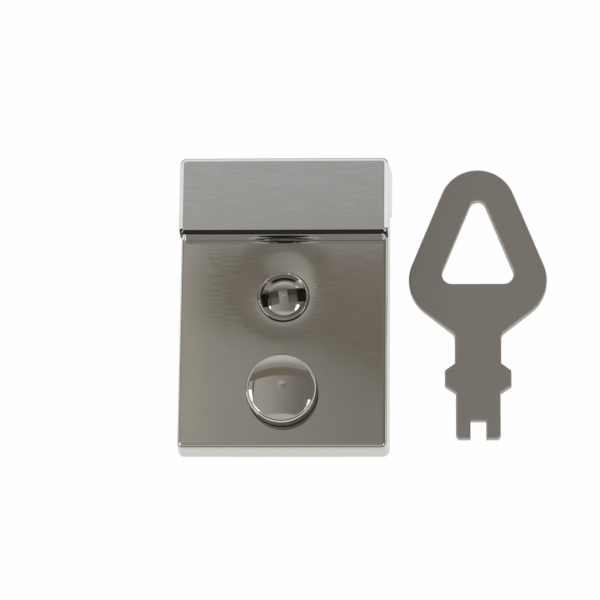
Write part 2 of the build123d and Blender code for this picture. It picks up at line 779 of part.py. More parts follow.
# Backing plate: rounded sheet, notched four times for the base plate's prongs
prong_inner_x = base_half_width - base_sheet
notch_ys = (prong_upper_y - backing_notch_shift, prong_lower_y + backing_notch_shift)
backing_high = notch_ys[0] + backing_notch_height / 2 + backing_top_land
backing_low = notch_ys[1] - backing_notch_height / 2 - backing_low_land
with BuildPart() as backing_plate:
    with BuildSketch(Plane.XY.offset(floor_z)):
        with Locations((0, (backing_high + backing_low) / 2)):
            RectangleRounded(backing_width, backing_high - backing_low, backing_corner)
        for notch_y in notch_ys:
            for side in (-1, 1):
                mouth_x = side * (backing_width / 2 + overshoot)
                bottom_x = side * (prong_inner_x - backing_prong_gap)
                mouth_half = backing_notch_height / 2
                bottom_half = mouth_half - backing_notch_taper / 2
                with BuildLine():
                    Polyline(
                        (mouth_x, notch_y - mouth_half),
                        (mouth_x, notch_y + mouth_half),
                        (bottom_x, notch_y + bottom_half),
                        (bottom_x, notch_y - bottom_half),
                        close=True,
                    )
                make_face(mode=Mode.SUBTRACT)
    extrude(amount=backing_sheet)
save(backing_plate, "backing_plate")

# Key: a flat blank with a three-cornered bow and hole, a shoulder and a notched tip
flank = Vector(cos(radians(bow_flank_angle)), sin(radians(bow_flank_angle)))
under = Vector(cos(radians(bow_under_angle)), -sin(radians(bow_under_angle)))


def corner_beside(far_center, far_radius, radius, known_x=None, known_y=None) -> Vector:
    """The centre of a corner arc that shares its flank line with another arc, from one known coordinate."""
    reach = flank.dot(far_center) + far_radius - radius
    if known_x is None:
        return Vector((reach - flank.Y * known_y) / flank.X, known_y)
    return Vector(known_x, (reach - flank.X * known_x) / flank.Y)


top_center = Vector(0, key_length - bow_top_radius)
side_x = bow_half_width - bow_side_radius
side_center = corner_beside(top_center, bow_top_radius, bow_side_radius, known_x=side_x)
apex_center = Vector(0, hole_apex_height - hole_apex_radius)
base_y = hole_base_height + hole_base_radius
base_center = corner_beside(apex_center, hole_apex_radius, hole_base_radius, known_y=base_y)
under_start = side_center + under * bow_side_radius
under_run = (under_start.X - shank_half_width) / sin(radians(bow_under_angle))
throat = under_start + Vector(-sin(radians(bow_under_angle)), -cos(radians(bow_under_angle))) * under_run
with BuildPart() as key:
    with BuildSketch(Plane((key_x, key_tip_y, floor_z))) as key_outline:
        with BuildLine():
            crown = TangentArc((0, key_length), top_center + flank * bow_top_radius, tangent=(1, 0))
            upper = Line(crown @ 1, side_center + flank * bow_side_radius)
            cheek = TangentArc(upper @ 1, under_start, tangent=upper % 1)
            Polyline(
                cheek @ 1,
                throat,
                (shank_half_width, shoulder_top),
                (shoulder_half_width, shoulder_top - shoulder_chamfer),
                (shoulder_half_width, shoulder_bottom + shoulder_chamfer),
                (blade_half_width, shoulder_bottom),
                (blade_half_width, blade_corner),
                (blade_half_width - blade_corner, 0),
                (tip_notch_half_width, 0),
                (tip_notch_half_width, tip_notch_depth),
                (0, tip_notch_depth),
            )
            mirror(about=Plane.YZ)
        make_face()
        throats = key_outline.vertices().filter_by(lambda v: abs(v.Y - throat.Y) < throat_radius / 2)
        fillet(throats, throat_radius)
        with BuildLine():
            apex = TangentArc((0, hole_apex_height), apex_center + flank * hole_apex_radius, tangent=(1, 0))
            slant = Line(apex @ 1, base_center + flank * hole_base_radius)
            foot = TangentArc(slant @ 1, base_center - Vector(0, hole_base_radius), tangent=slant % 1)
            Line(foot @ 1, (0, hole_base_height))
            mirror(about=Plane.YZ)
        make_face(mode=Mode.SUBTRACT)
    extrude(amount=key_thickness)
    key_faces = key.faces().filter_by(Axis.Z).group_by(Axis.Z)
    fillet((key_faces[0] + key_faces[-1]).edges(), key_edge_radius)
save(key, "key")
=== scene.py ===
"""Briefcase lock with its flat key and backing plate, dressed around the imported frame.

Every visible piece stands for one CAD node and is a merged copy of it. Most have their sharp edges broken.
The two covers, the barrel, the button and the key keep the CAD's own normals on their curved faces, because
shiny metal shows every facet.
"""
import json
import logging
from collections.abc import Iterable
from dataclasses import dataclass, field
from enum import Enum
from math import cos, pi, radians, sin

import bmesh
import bpy
from mathutils import Matrix, Vector
from mathutils.bvhtree import BVHTree


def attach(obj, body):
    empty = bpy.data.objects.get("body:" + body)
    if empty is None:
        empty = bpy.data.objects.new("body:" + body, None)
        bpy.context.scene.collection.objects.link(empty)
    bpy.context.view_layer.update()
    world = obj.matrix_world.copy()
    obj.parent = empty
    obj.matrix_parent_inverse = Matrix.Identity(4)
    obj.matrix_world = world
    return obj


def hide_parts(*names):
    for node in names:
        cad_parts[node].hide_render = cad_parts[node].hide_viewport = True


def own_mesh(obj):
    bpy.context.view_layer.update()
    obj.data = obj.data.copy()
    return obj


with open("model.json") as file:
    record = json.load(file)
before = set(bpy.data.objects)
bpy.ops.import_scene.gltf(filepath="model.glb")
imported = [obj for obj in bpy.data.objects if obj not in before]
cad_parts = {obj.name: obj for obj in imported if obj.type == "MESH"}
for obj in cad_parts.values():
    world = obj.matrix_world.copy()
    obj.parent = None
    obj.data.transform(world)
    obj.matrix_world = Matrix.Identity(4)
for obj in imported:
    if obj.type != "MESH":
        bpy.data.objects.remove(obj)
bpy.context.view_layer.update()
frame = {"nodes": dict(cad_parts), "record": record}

logging.basicConfig(level=logging.INFO, format="%(message)s")
log = logging.getLogger("briefcase_lock")

MM = 0.001
WHITE = (1.0, 1.0, 1.0, 1.0)
Socket = bpy.types.NodeSocket
Tree = bpy.types.NodeTree


# Node helpers

def linear(colour: str) -> tuple[float, float, float, float]:
    """Turn an sRGB hex colour to linear light.

    Args:
        colour: six hex digits, such as "c8c4ba".

    Returns:
        Red, green, blue and alpha in linear light.
    """
    parts = [int(colour[i:i + 2], 16) / 255 for i in (0, 2, 4)]
    red, green, blue = (p / 12.92 if p <= 0.04045 else ((p + 0.055) / 1.055) ** 2.4 for p in parts)
    return red, green, blue, 1.0


def add_node(tree: Tree, kind: str, links: dict | None = None, **settings: object) -> bpy.types.Node:
    """Add a node with its settings and links.

    Args:
        tree: the tree that gets the node.
        kind: Blender's name of the node type.
        links: what goes into each input, by socket name or index. A socket is linked, the rest are values.
        settings: the node's own properties.

    Returns:
        The new node.
    """
    node = tree.nodes.new(kind)
    for name, value in settings.items():
        setattr(node, name, value)
    for key, value in (links or {}).items():
        if isinstance(value, Socket):
            tree.links.new(value, node.inputs[key])
        else:
            node.inputs[key].default_value = value
    return node


def per_mm(size: float) -> float:
    """The texture scale that gives features of a real size, in mm, on Object coordinates in metres."""
    return 1.0 / (size * MM)


def figure(tree: Tree, operation: str, *values: object) -> Socket:
    """Work out a mask or a height from sockets and numbers.

    Args:
        tree: the tree that gets the node.
        operation: Blender's name of the operation.
        values: sockets or numbers, in the order of the node's inputs.

    Returns:
        The result's socket.
    """
    return add_node(tree, "ShaderNodeMath", dict(enumerate(values)), operation=operation).outputs[0]


def ease(tree: Tree, value: Socket, low: float, high: float) -> Socket:
    """A soft step from 0 at low to 1 at high.

    Args:
        tree: the tree that gets the node.
        value: what is compared.
        low: where the step starts.
        high: where it ends.

    Returns:
        The step's socket.
    """
    return add_node(tree, "ShaderNodeMapRange", {"Value": value, "From Min": low, "From Max": high},
                    interpolation_type="SMOOTHSTEP").outputs["Result"]


def blend(tree: Tree, share: Socket, one: object, other: object) -> Socket:
    """Mix two colours.

    Args:
        tree: the tree that gets the node.
        share: 0 for the first colour and 1 for the second.
        one: the first colour, a socket or a value.
        other: the second colour.

    Returns:
        The mixed colour's socket.
    """
    node = add_node(tree, "ShaderNodeMix", data_type="RGBA")
    sockets = {s.identifier: s for s in node.inputs}
    for name, value in (("Factor_Float", share), ("A_Color", one), ("B_Color", other)):
        if isinstance(value, Socket):
            tree.links.new(value, sockets[name])
        else:
            sockets[name].default_value = value
    return next(s for s in node.outputs if s.identifier == "Result_Color")


def new_material(name: str) -> tuple[bpy.types.Material, Tree, bpy.types.Node]:
    """A material with one Principled shader.

    Args:
        name: the finish's name.

    Returns:
        The material, its tree and the shader node.
    """
    material = bpy.data.materials.new(name)
    material.use_nodes = True
    tree = material.node_tree
    return material, tree, tree.nodes["Principled BSDF"]


# Finishes

# The dark of a speck, and the noise values between which it fades in
SPECK_COLOUR = "4c4841"
SPECK_LIMITS = (0.62, 0.38)
# Noise values of the lines between which the metal goes from rubbed to dull
LINE_LIMITS = (0.3, 0.7)
# Noise values of the lines between which a brushed face goes from smooth to rough
BRUSH_LIMITS = (0.0, 0.6)
# How far up a face's normal points, from 0 to 1: an upright wall lies below this
UPRIGHT = 0.3
# Between these two it becomes one that looks up
TOP_LIMITS = (0.97, 0.995)


class Lines(Enum):
    """Which way the polishing or rolling lines of a surface run: of X and Y, the axis marked 0."""
    ALONG_X = (0, 1)
    ALONG_Y = (1, 0)


@dataclass(frozen=True)
class Shade:
    """A darker or duller place, round or square, between two heights, in mm. Most are painted shade where
    little light reaches; the keyway's is dull metal that the polish doesn't reach.

    colour, rough: what the metal is there.
    half_x, half_y: half the sides of a square place, or the same radius twice for a round one.
    walls: whether upright faces are darkened everywhere too.
    """
    colour: str
    rough: float
    half_x: float
    half_y: float
    middle_y: float
    low_z: float = -50.0
    high_z: float = 50.0
    round: bool = False
    walls: bool = False

    def mask(self, tree: Tree, where: Socket) -> Socket:
        """1 inside the place and 0 outside it.

        Args:
            tree: the finish's tree.
            where: the Object coordinates.

        Returns:
            The mask's socket.
        """
        axes = add_node(tree, "ShaderNodeSeparateXYZ", {"Vector": where}).outputs
        along = figure(tree, "SUBTRACT", axes["Y"], self.middle_y * MM)
        if self.round:
            square_x = figure(tree, "POWER", axes["X"], 2.0)
            squares = figure(tree, "ADD", square_x, figure(tree, "POWER", along, 2.0))
            inside = figure(tree, "LESS_THAN", squares, (self.half_x * MM) ** 2)
        else:
            inside = figure(tree, "MULTIPLY",
                            figure(tree, "LESS_THAN", figure(tree, "ABSOLUTE", axes["X"]), self.half_x * MM),
                            figure(tree, "LESS_THAN", figure(tree, "ABSOLUTE", along), self.half_y * MM))
        inside = figure(tree, "MULTIPLY", inside, figure(tree, "LESS_THAN", axes["Z"], self.high_z * MM))
        inside = figure(tree, "MULTIPLY", inside, figure(tree, "GREATER_THAN", axes["Z"], self.low_z * MM))
        if self.walls:
            up = add_node(tree, "ShaderNodeSeparateXYZ", {
                "Vector": add_node(tree, "ShaderNodeNewGeometry").outputs["Normal"]}).outputs["Z"]
            inside = figure(tree, "MAXIMUM", inside,
                            figure(tree, "LESS_THAN", figure(tree, "ABSOLUTE", up), UPRIGHT))
        return inside


@dataclass(frozen=True)
class MetalFinish:
    """A bare or plated metal: two tones that drift, fine tool marks, and a surface that isn't quite flat.

    light, dark: the two tones of the metal, as sRGB hex.
    rough_low, rough_high: roughness where it is rubbed and where it is dull.
    tone_mm: size of the patches of tone.
    speckle: how far a fine speckle darkens the metal, from 0 to 1, and speckle_mm its size.
    lines, line_mm, line_length: which way the lines run, their spacing and their length, in mm.
    line_depth, wave_depth, grit_depth: height of the lines, the sheet's slow waves and the fine grit, in mm.
    wave_mm, grit_mm: size of the waves and of the grit.
    top_rough: roughness of a brushed face that looks up, on a piece with polished edges; 0 for none.
    shades: the darker or duller places, most of them painted shade.
    """
    name: str
    light: str
    dark: str
    rough_low: float
    rough_high: float
    tone_mm: float = 3.0
    speckle: float = 0.0
    speckle_mm: float = 0.25
    lines: Lines = Lines.ALONG_Y
    line_mm: float = 0.12
    line_length: float = 3.0
    line_depth: float = 0.0
    wave_mm: float = 9.0
    wave_depth: float = 0.0
    grit_mm: float = 0.15
    grit_depth: float = 0.0
    top_rough: float = 0.0
    shades: tuple[Shade, ...] = field(default_factory=tuple)

    def material(self) -> bpy.types.Material:
        """Build the material once and return it."""
        if self.name in bpy.data.materials:
            return bpy.data.materials[self.name]
        material, tree, shader = new_material(self.name)
        shader.inputs["Metallic"].default_value = 1.0
        where = add_node(tree, "ShaderNodeTexCoord").outputs["Object"]
        tone = add_node(tree, "ShaderNodeTexNoise", {
            "Vector": where, "Scale": per_mm(self.tone_mm), "Detail": 4.0})
        squeeze = [1.0 if axis else self.line_mm / self.line_length for axis in self.lines.value]
        stretched = add_node(tree, "ShaderNodeMapping", {"Vector": where, "Scale": (*squeeze, 1.0)})
        lines = add_node(tree, "ShaderNodeTexNoise", {
            "Vector": stretched.outputs["Vector"], "Scale": per_mm(self.line_mm),
            "Detail": 3.0}).outputs["Fac"]
        base = blend(tree, tone.outputs["Fac"], linear(self.dark), linear(self.light))
        if self.speckle:
            speck = add_node(tree, "ShaderNodeTexNoise", {
                "Vector": where, "Scale": per_mm(self.speckle_mm), "Detail": 3.0,
                "Roughness": 0.7}).outputs["Fac"]
            share = figure(tree, "MULTIPLY", ease(tree, speck, *SPECK_LIMITS), self.speckle)
            base = blend(tree, share, base, linear(SPECK_COLOUR))
        rough = add_node(tree, "ShaderNodeMapRange", {
            "Value": lines, "From Min": LINE_LIMITS[0], "From Max": LINE_LIMITS[1],
            "To Min": self.rough_low, "To Max": self.rough_high}).outputs["Result"]
        if self.top_rough:
            up = add_node(tree, "ShaderNodeSeparateXYZ", {
                "Vector": add_node(tree, "ShaderNodeNewGeometry").outputs["True Normal"]}).outputs["Z"]
            top = figure(tree, "MULTIPLY", ease(tree, up, *TOP_LIMITS), self.top_rough)
            brushed = figure(tree, "MULTIPLY", top, ease(tree, lines, *BRUSH_LIMITS))
            rough = figure(tree, "MAXIMUM", rough, brushed)
        for shade in self.shades:
            inside = shade.mask(tree, where)
            base = blend(tree, inside, base, linear(shade.colour))
            rough = figure(tree, "MAXIMUM", rough, figure(tree, "MULTIPLY", inside, shade.rough))
        tree.links.new(base, shader.inputs["Base Color"])
        tree.links.new(rough, shader.inputs["Roughness"])
        height = None
        for pattern, depth in self.heights(tree, where, lines):
            scaled = figure(tree, "MULTIPLY", pattern, depth)
            height = scaled if height is None else figure(tree, "ADD", height, scaled)
        if height is not None:
            bump = add_node(tree, "ShaderNodeBump", {"Height": height, "Strength": 1.0, "Distance": MM})
            tree.links.new(bump.outputs["Normal"], shader.inputs["Normal"])
        return material

    def heights(self, tree: Tree, where: Socket, lines: Socket) -> Iterable[tuple[Socket, float]]:
        """The height patterns that this finish has.

        Args:
            tree: the finish's tree.
            where: the Object coordinates.
            lines: the pattern of the lines.

        Yields:
            Each pattern's socket, with its depth in mm.
        """
        if self.line_depth:
            yield lines, self.line_depth
        slow_and_fine = ((self.wave_mm, self.wave_depth, 1.0), (self.grit_mm, self.grit_depth, 2.0))
        for size, depth, detail in slow_and_fine:
            if depth:
                noise = {"Vector": where, "Scale": per_mm(size), "Detail": detail}
                yield add_node(tree, "ShaderNodeTexNoise", noise).outputs["Fac"], depth


BARREL_Y = 5.4
# Under the barrel the works are greased and little light reaches them. Their dark colour is painted shade
# with some grease in it, so the keyway's ends look dark
BARREL_WELL_SHADE = Shade("3a3732", 0.5, half_x=4.3, half_y=4.3, middle_y=BARREL_Y, low_z=1.1, round=True)
# The inside of the two drawn covers is painted nearly black: painted shade for their unlit insides.
# The hasp's box is a little too large, and also paints this shade on its thumb scoop
# and the outside of its corners
COVER_INSIDE_SHADE = Shade("2b2823", 0.45, half_x=15.25, half_y=17.45, middle_y=0.0, high_z=4.32)
HASP_INSIDE_SHADE = Shade("2b2823", 0.45, half_x=15.55, half_y=5.9, middle_y=20.25, high_z=7.46)
# The button's upright wall is left duller, and painted darker: painted shade for the gap round its foot
BUTTON_WALL_SHADE = Shade("8a867e", 0.32, half_x=0.0, half_y=0.0, middle_y=0.0, walls=True)
# The keyway's walls and floor keep the cutter's dull marks
KEYWAY = Shade("cbc7be", 0.42, half_x=3.6, half_y=3.6, middle_y=BARREL_Y, high_z=3.75, round=True,
               walls=True)

# Nickel plate polished to a mirror: a neutral grey metal that looks like what it reflects, with faint lines
SHELL_NICKEL = MetalFinish(
    "bright_nickel_shell", "d2d0cb", "cdcbc5", 0.035, 0.085, lines=Lines.ALONG_X, line_depth=0.00001,
    wave_depth=0.0015, wave_mm=12.0, shades=(COVER_INSIDE_SHADE,))
# The hasp's base colour is lighter than the shell's: painted light, so that its brushed face comes out
# brighter. Its face is brushed across and only its edges are polished
HASP_NICKEL = MetalFinish(
    "bright_nickel_hasp", "e4e4e4", "dededd", 0.045, 0.10, lines=Lines.ALONG_X, line_depth=0.00004,
    wave_depth=0.0015, wave_mm=12.0, top_rough=0.15, shades=(HASP_INSIDE_SHADE,))
# The barrel's sleeve, the button's top and the plug's head are polished too
FITTING_NICKEL = MetalFinish("bright_nickel_fittings", "d4d2ce", "cecbc6", 0.03, 0.07, line_depth=0.00004)
BUTTON_NICKEL = MetalFinish("bright_nickel_button", "d4d2ce", "cecbc6", 0.03, 0.07, line_depth=0.00002,
                            shades=(BUTTON_WALL_SHADE,))
PLUG_NICKEL = MetalFinish(
    "bright_nickel_plug", "d4d2ce", "c6c3bd", 0.05, 0.14, tone_mm=0.8, line_depth=0.0003, shades=(KEYWAY,))
# Nickel plated strip, blanked and left as rolled: a softer shine with rolling lines
STRIP_NICKEL = MetalFinish("nickel_plated_strip", "c4c0b6", "aaa59a", 0.20, 0.34, line_depth=0.0004)
CAM_NICKEL = MetalFinish("nickel_plated_cam", "c4c0b6", "aaa59a", 0.20, 0.34, line_depth=0.0004,
                         shades=(BARREL_WELL_SHADE,))
# Zinc plated steel: cold white-grey, finely clouded, half dull
ZINC_PLATE = MetalFinish("zinc_plated_steel", "cdd1d2", "a9adb0", 0.26, 0.42, tone_mm=1.2, line_depth=0.0005,
                         grit_depth=0.0006, grit_mm=0.12, shades=(BARREL_WELL_SHADE,))
# Drawn spring wire: darker grey with a thin sheen
SPRING_WIRE = MetalFinish("spring_steel", "a3a29e", "7d7b77", 0.22, 0.38, tone_mm=0.8, line_depth=0.0003)
# Galvanised sheet: dull, mottled in patches of a few millimetres with rolling streaks
GALVANISED = MetalFinish("galvanised_sheet", "b5b4af", "8b8a86", 0.34, 0.52, tone_mm=1.6, line_depth=0.0010,
                         line_mm=0.2, line_length=5.0, grit_depth=0.0012, grit_mm=0.2)
# Tumbled nickel plate on a stamped blank: an even, warm satin grey with a fine grain. The grain is drawn too
# fine: it averages out when the whole key is in view
KEY_NICKEL = MetalFinish("satin_nickel", "a8a193", "9a9384", 0.24, 0.38, tone_mm=0.9, speckle=0.45,
                         speckle_mm=0.26, line_depth=0.0004, grit_depth=0.006, grit_mm=0.3)


# Mesh helpers

# Faces that turn less than this are one flat face, in degrees
FLAT_ANGLE = 0.01
# Edges that turn more than this are broken, in degrees
BREAK_ANGLE = 40.0
# The CAD's own normal is kept where it turns less than this from its face, in degrees
CURVE_ANGLE = 12.0
# Edges that turn more than this are sharp, in degrees
SHARP_ANGLE = 50.0
# Corners closer than this are merged, in metres
MERGE_DISTANCE = 1e-7
# The share of the way from a corner to its face's middle at which its normal is read
INWARD = 0.02
BODY_OF = {node: body for body, nodes in frame["record"]["behaviour"]["bodies"].items() for node in nodes}


def broken_copy(node: str, width: float, segments: int = 2) -> bmesh.types.BMesh:
    """A merged copy of a CAD node with its sharp edges broken.

    Args:
        node: the CAD node.
        width: how far the break runs on each face, in mm; 0 leaves the edges.
        segments: faces across the break.

    Returns:
        The bmesh, in metres, in the row frame.
    """
    shape = bmesh.new()
    shape.from_mesh(frame["nodes"][node].data)
    bmesh.ops.remove_doubles(shape, verts=shape.verts, dist=MERGE_DISTANCE)
    bmesh.ops.dissolve_limit(shape, angle_limit=radians(FLAT_ANGLE), verts=shape.verts, edges=shape.edges)
    if width:
        edges = [e for e in shape.edges
                 if len(e.link_faces) == 2 and e.calc_face_angle(0.0) > radians(BREAK_ANGLE)]
        bmesh.ops.bevel(shape, geom=edges, offset=width * MM, offset_type="OFFSET", affect="EDGES",
                        segments=segments, profile=0.5, material=-1, clamp_overlap=True)
    return shape


def corner_normals(piece: bpy.types.Object) -> list[Vector]:
    """The normals that a Weighted Normal modifier gives each corner of a piece, as sharp edges allow."""
    weighted = piece.modifiers.new("face_normals", "WEIGHTED_NORMAL")
    weighted.keep_sharp = True
    evaluated = piece.evaluated_get(bpy.context.evaluated_depsgraph_get())
    normals = [corner.vector.copy() for corner in evaluated.data.corner_normals]
    piece.modifiers.remove(weighted)
    return normals


def keep_curves(piece: bpy.types.Object, node: str) -> None:
    """Give a piece's curved faces the exact normals of the CAD node, and its broken edges smooth ones.

    Args:
        piece: the piece, a copy of the node.
        node: the CAD node.
    """
    source = frame["nodes"][node].data
    source.calc_loop_triangles()
    triangles = source.loop_triangles
    exact = [corner.vector.copy() for corner in source.corner_normals]
    tree = BVHTree.FromPolygons([v.co for v in source.vertices], [t.vertices for t in triangles])
    mesh = piece.data
    normals = corner_normals(piece)
    for face in mesh.polygons:
        for index in face.loop_indices:
            corner = mesh.vertices[mesh.loops[index].vertex_index].co
            inside = corner.lerp(face.center, INWARD)
            spot, _, nearest, _ = tree.find_nearest(inside)
            triangle = triangles[nearest]
            a, b, c = (source.vertices[v].co for v in triangle.vertices)
            shares = barycentric(spot, a, b, c)
            normal = sum((exact[loop] * share for loop, share in zip(triangle.loops, shares)), Vector())
            if normal.length and normal.normalized().dot(face.normal) > cos(radians(CURVE_ANGLE)):
                normals[index] = normal.normalized()
    mesh.normals_split_custom_set(normals)


def barycentric(spot: Vector, a: Vector, b: Vector, c: Vector) -> tuple[float, float, float]:
    """The shares of a triangle's three corners in a point on it.

    Args:
        spot: the point.
        a: the first corner.
        b: the second corner.
        c: the third corner.

    Returns:
        Three shares that add up to 1.
    """
    whole = (b - a).cross(c - a)
    size = whole.length_squared
    if not size:
        return 1.0, 0.0, 0.0
    second = (c - spot).cross(a - spot).dot(whole) / size
    third = (a - spot).cross(b - spot).dot(whole) / size
    return 1.0 - second - third, second, third


def place_piece(shape: bmesh.types.BMesh, name: str, node: str, finish: MetalFinish,
                curved: bool = False) -> bpy.types.Object:
    """Turn a bmesh to a piece that stands for a CAD node, on that node's body.

    Args:
        shape: the bmesh, which is freed.
        name: the piece's name.
        node: the CAD node that it replaces.
        finish: what it is made of.
        curved: whether its curved faces need the CAD's own normals.

    Returns:
        The piece.
    """
    mesh = bpy.data.meshes.new(name)
    shape.to_mesh(mesh)
    shape.free()
    mesh.polygons.foreach_set("use_smooth", [True] * len(mesh.polygons))
    mesh.set_sharp_from_angle(angle=radians(SHARP_ANGLE))
    mesh.materials.append(finish.material())
    piece = bpy.data.objects.new(name, mesh)
    bpy.context.scene.collection.objects.link(piece)
    if curved:
        keep_curves(piece, node)
    else:
        piece.modifiers.new("face_normals", "WEIGHTED_NORMAL").keep_sharp = True
    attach(piece, BODY_OF[node])
    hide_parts(node)
    log.info("%s: %d faces, %s", name, len(mesh.polygons), finish.name)
    return piece


def shorten_coil(piece: bpy.types.Object) -> None:
    """Give a coil its own copy of its mesh; the coil is not shortened.

    Args:
        piece: the coil.
    """
    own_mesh(piece)


# Sub-assemblies

@dataclass
class Housing:
    """The drawn cover with the barrel's sleeve and the four spacer posts under it."""
    edge_break: float = 0.05
    post_break: float = 0.05

    def build(self) -> None:
        """Make the cover, the sleeve and the posts."""
        cover = broken_copy("body_shell", self.edge_break)
        place_piece(cover, "cover", "body_shell", SHELL_NICKEL, curved=True)
        sleeve = broken_copy("barrel_sleeve", 0.0)
        place_piece(sleeve, "sleeve", "barrel_sleeve", FITTING_NICKEL, curved=True)
        for row in ("lower", "upper"):
            for side in ("left", "right"):
                node = f"spacer_post_{row}_{side}"
                place_piece(broken_copy(node, self.post_break), f"post_{row}_{side}", node, ZINC_PLATE)


@dataclass
class KeyBarrel:
    """The domed plug with its keyway, and the cam on its neck."""
    keyway_break: float = 0.2
    keyway_faces: int = 3
    cam_break: float = 0.06

    def build(self) -> None:
        """Make the plug and the cam."""
        plug = broken_copy("key_plug", self.keyway_break, self.keyway_faces)
        place_piece(plug, "plug", "key_plug", PLUG_NICKEL, curved=True)
        place_piece(broken_copy("lock_cam", self.cam_break), "cam", "lock_cam", CAM_NICKEL)


@dataclass
class PushButton:
    """The button's cup, the ring that keeps it in, its coil, and the post that the coil sits round."""
    edge_break: float = 0.05

    def build(self) -> None:
        """Make the button's pieces."""
        place_piece(broken_copy("button_cap", 0.0), "button", "button_cap", BUTTON_NICKEL, curved=True)
        place_piece(broken_copy("stop_ring", self.edge_break), "button_ring", "stop_ring", STRIP_NICKEL)
        coil = place_piece(broken_copy("button_spring", 0.0), "button_coil", "button_spring", SPRING_WIRE)
        shorten_coil(coil)
        place_piece(broken_copy("guide_post", self.edge_break), "coil_post", "guide_post", STRIP_NICKEL)
        place_piece(broken_copy("post_plate", self.edge_break), "post_strap", "post_plate", STRIP_NICKEL)


@dataclass
class LatchWorks:
    """The pronged base plate and the latch plate that slides on it, with its rivets and coils."""
    edge_break: float = 0.07
    rivet_break: float = 0.05

    def build(self) -> None:
        """Make the base plate and what slides on it."""
        place_piece(broken_copy("base_plate", self.edge_break), "base", "base_plate", ZINC_PLATE)
        place_piece(broken_copy("latch_plate", self.edge_break), "latch", "latch_plate", ZINC_PLATE)
        for side in ("left", "right"):
            guide = f"latch_guide_{side}"
            place_piece(broken_copy(guide, self.rivet_break), f"rivet_{side}", guide, ZINC_PLATE)
            spring = f"latch_spring_{side}"
            coil = place_piece(broken_copy(spring, 0.0), f"latch_coil_{side}", spring, SPRING_WIRE)
            shorten_coil(coil)


@dataclass
class Hasp:
    """The drawn upper cover with its thumb scoop, and the staple inside it."""
    edge_break: float = 0.05

    def build(self) -> None:
        """Make the hasp's two pieces."""
        cover = broken_copy("hasp_cover", self.edge_break)
        place_piece(cover, "hasp", "hasp_cover", HASP_NICKEL, curved=True)
        place_piece(broken_copy("hasp_staple", self.edge_break), "staple", "hasp_staple", STRIP_NICKEL)


@dataclass
class LooseParts:
    """The notched backing plate and the flat key."""
    edge_break: float = 0.06

    def build(self) -> None:
        """Make the backing plate and the key."""
        place_piece(broken_copy("backing_plate", self.edge_break), "backing", "backing_plate", GALVANISED)
        place_piece(broken_copy("key", 0.0), "flat_key", "key", KEY_NICKEL, curved=True)


# Studio

@dataclass(frozen=True)
class Softbox:
    """A rectangular soft light that faces the object.

    turn, height: its direction, round Z from +X and above the floor, in degrees.
    width, tall: its sides, in metres, at the reach in metres.
    level: its radiance, where 1 is white.
    """
    name: str
    turn: float
    height: float
    width: float
    tall: float
    level: float
    reach: float = 0.6

    def build(self) -> None:
        """Make the light."""
        light = bpy.data.lights.new(self.name, "AREA")
        light.shape = "RECTANGLE"
        light.size, light.size_y = self.width, self.tall
        light.energy = self.level * pi * self.width * self.tall
        lamp = bpy.data.objects.new(self.name, light)
        bpy.context.scene.collection.objects.link(lamp)
        turn, height = radians(self.turn), radians(self.height)
        away = Vector((cos(turn) * cos(height), sin(turn) * cos(height), sin(height)))
        lamp.location = away * self.reach
        lamp.rotation_euler = away.to_track_quat("Z", "Y").to_euler()


class Way(Enum):
    """How a direction in the room is measured, seen from the object.

    ACROSS and ALONG are x and y on a flat ceiling one unit up, and CURVED is y from a bent edge on it.
    HEIGHT, BACK and RIGHT are the direction's own z, y and x.
    """
    ACROSS = 1
    ALONG = 2
    CURVED = 3
    HEIGHT = 4
    BACK = 5
    RIGHT = 6


@dataclass(frozen=True)
class Patch:
    """A part of the room, painted over those before it.

    fades: along each way, where the patch starts to show and where it is full. They are multiplied.
    """
    colour: str
    fades: tuple[tuple[Way, float, float], ...]


# The small field overhead that the lock's flat face mirrors
OVERHEAD = ((Way.ACROSS, -0.15, -0.11), (Way.ACROSS, 0.07, 0.03),
            (Way.ALONG, 0.150, 0.182), (Way.ALONG, 0.31, 0.29))
ROOM = (
    # The grey ceiling is darker to the right
    Patch("807d78", ((Way.ACROSS, -0.7, 0.6),)),
    # Overhead: two greys, a brown field with a bent edge, and a lighter strip at the left
    Patch("a7a49e", OVERHEAD),
    Patch("938f88", (*OVERHEAD, (Way.ACROSS, -0.085, -0.025))),
    Patch("7c766b", (*OVERHEAD, (Way.CURVED, 0.2536, 0.2616))),
    Patch("867f75", (*OVERHEAD, (Way.CURVED, 0.2650, 0.2900))),
    Patch("b8b4ab", (*OVERHEAD, (Way.ACROSS, -0.0825, -0.0965))),
    # Next to it, the light panel that the hasp's face mirrors
    Patch("bababa", ((Way.ACROSS, -0.17, -0.12), (Way.ACROSS, 0.06, 0.00), (Way.ALONG, 0.284, 0.292),
                     (Way.ALONG, 0.40, 0.35))),
    # Left wall below a thin brown line, and the dim right wall
    Patch("82796d", ((Way.ACROSS, -0.88, -0.92),)),
    Patch("b9b6b1", ((Way.ACROSS, -0.99, -1.03),)),
    Patch("7e7b76", ((Way.ACROSS, 0.67, 0.71),)),
    # Back wall: a brown strip, then light that grows downwards
    Patch("82796d", ((Way.ALONG, 0.52, 0.56),)),
    Patch("a09e9a", ((Way.ALONG, 0.84, 0.92),)),
    Patch("d9d7d4", ((Way.ALONG, 0.95, 1.50),)),
    # Front wall
    Patch("cac8c5", ((Way.ALONG, -0.49, -0.53),)),
    # Dark just above the table, and higher up towards the front
    Patch("2e2c2a", ((Way.HEIGHT, 0.47, 0.43), (Way.BACK, -0.55, -0.75))),
    Patch("2e2c2a", ((Way.HEIGHT, 0.25, 0.20),)),
    # The table's far end, which shows higher to the right
    Patch("ffffff", ((Way.HEIGHT, 0.09, 0.07),)),
    Patch("ffffff", ((Way.HEIGHT, 0.19, 0.16), (Way.RIGHT, 0.80, 0.90))),
)


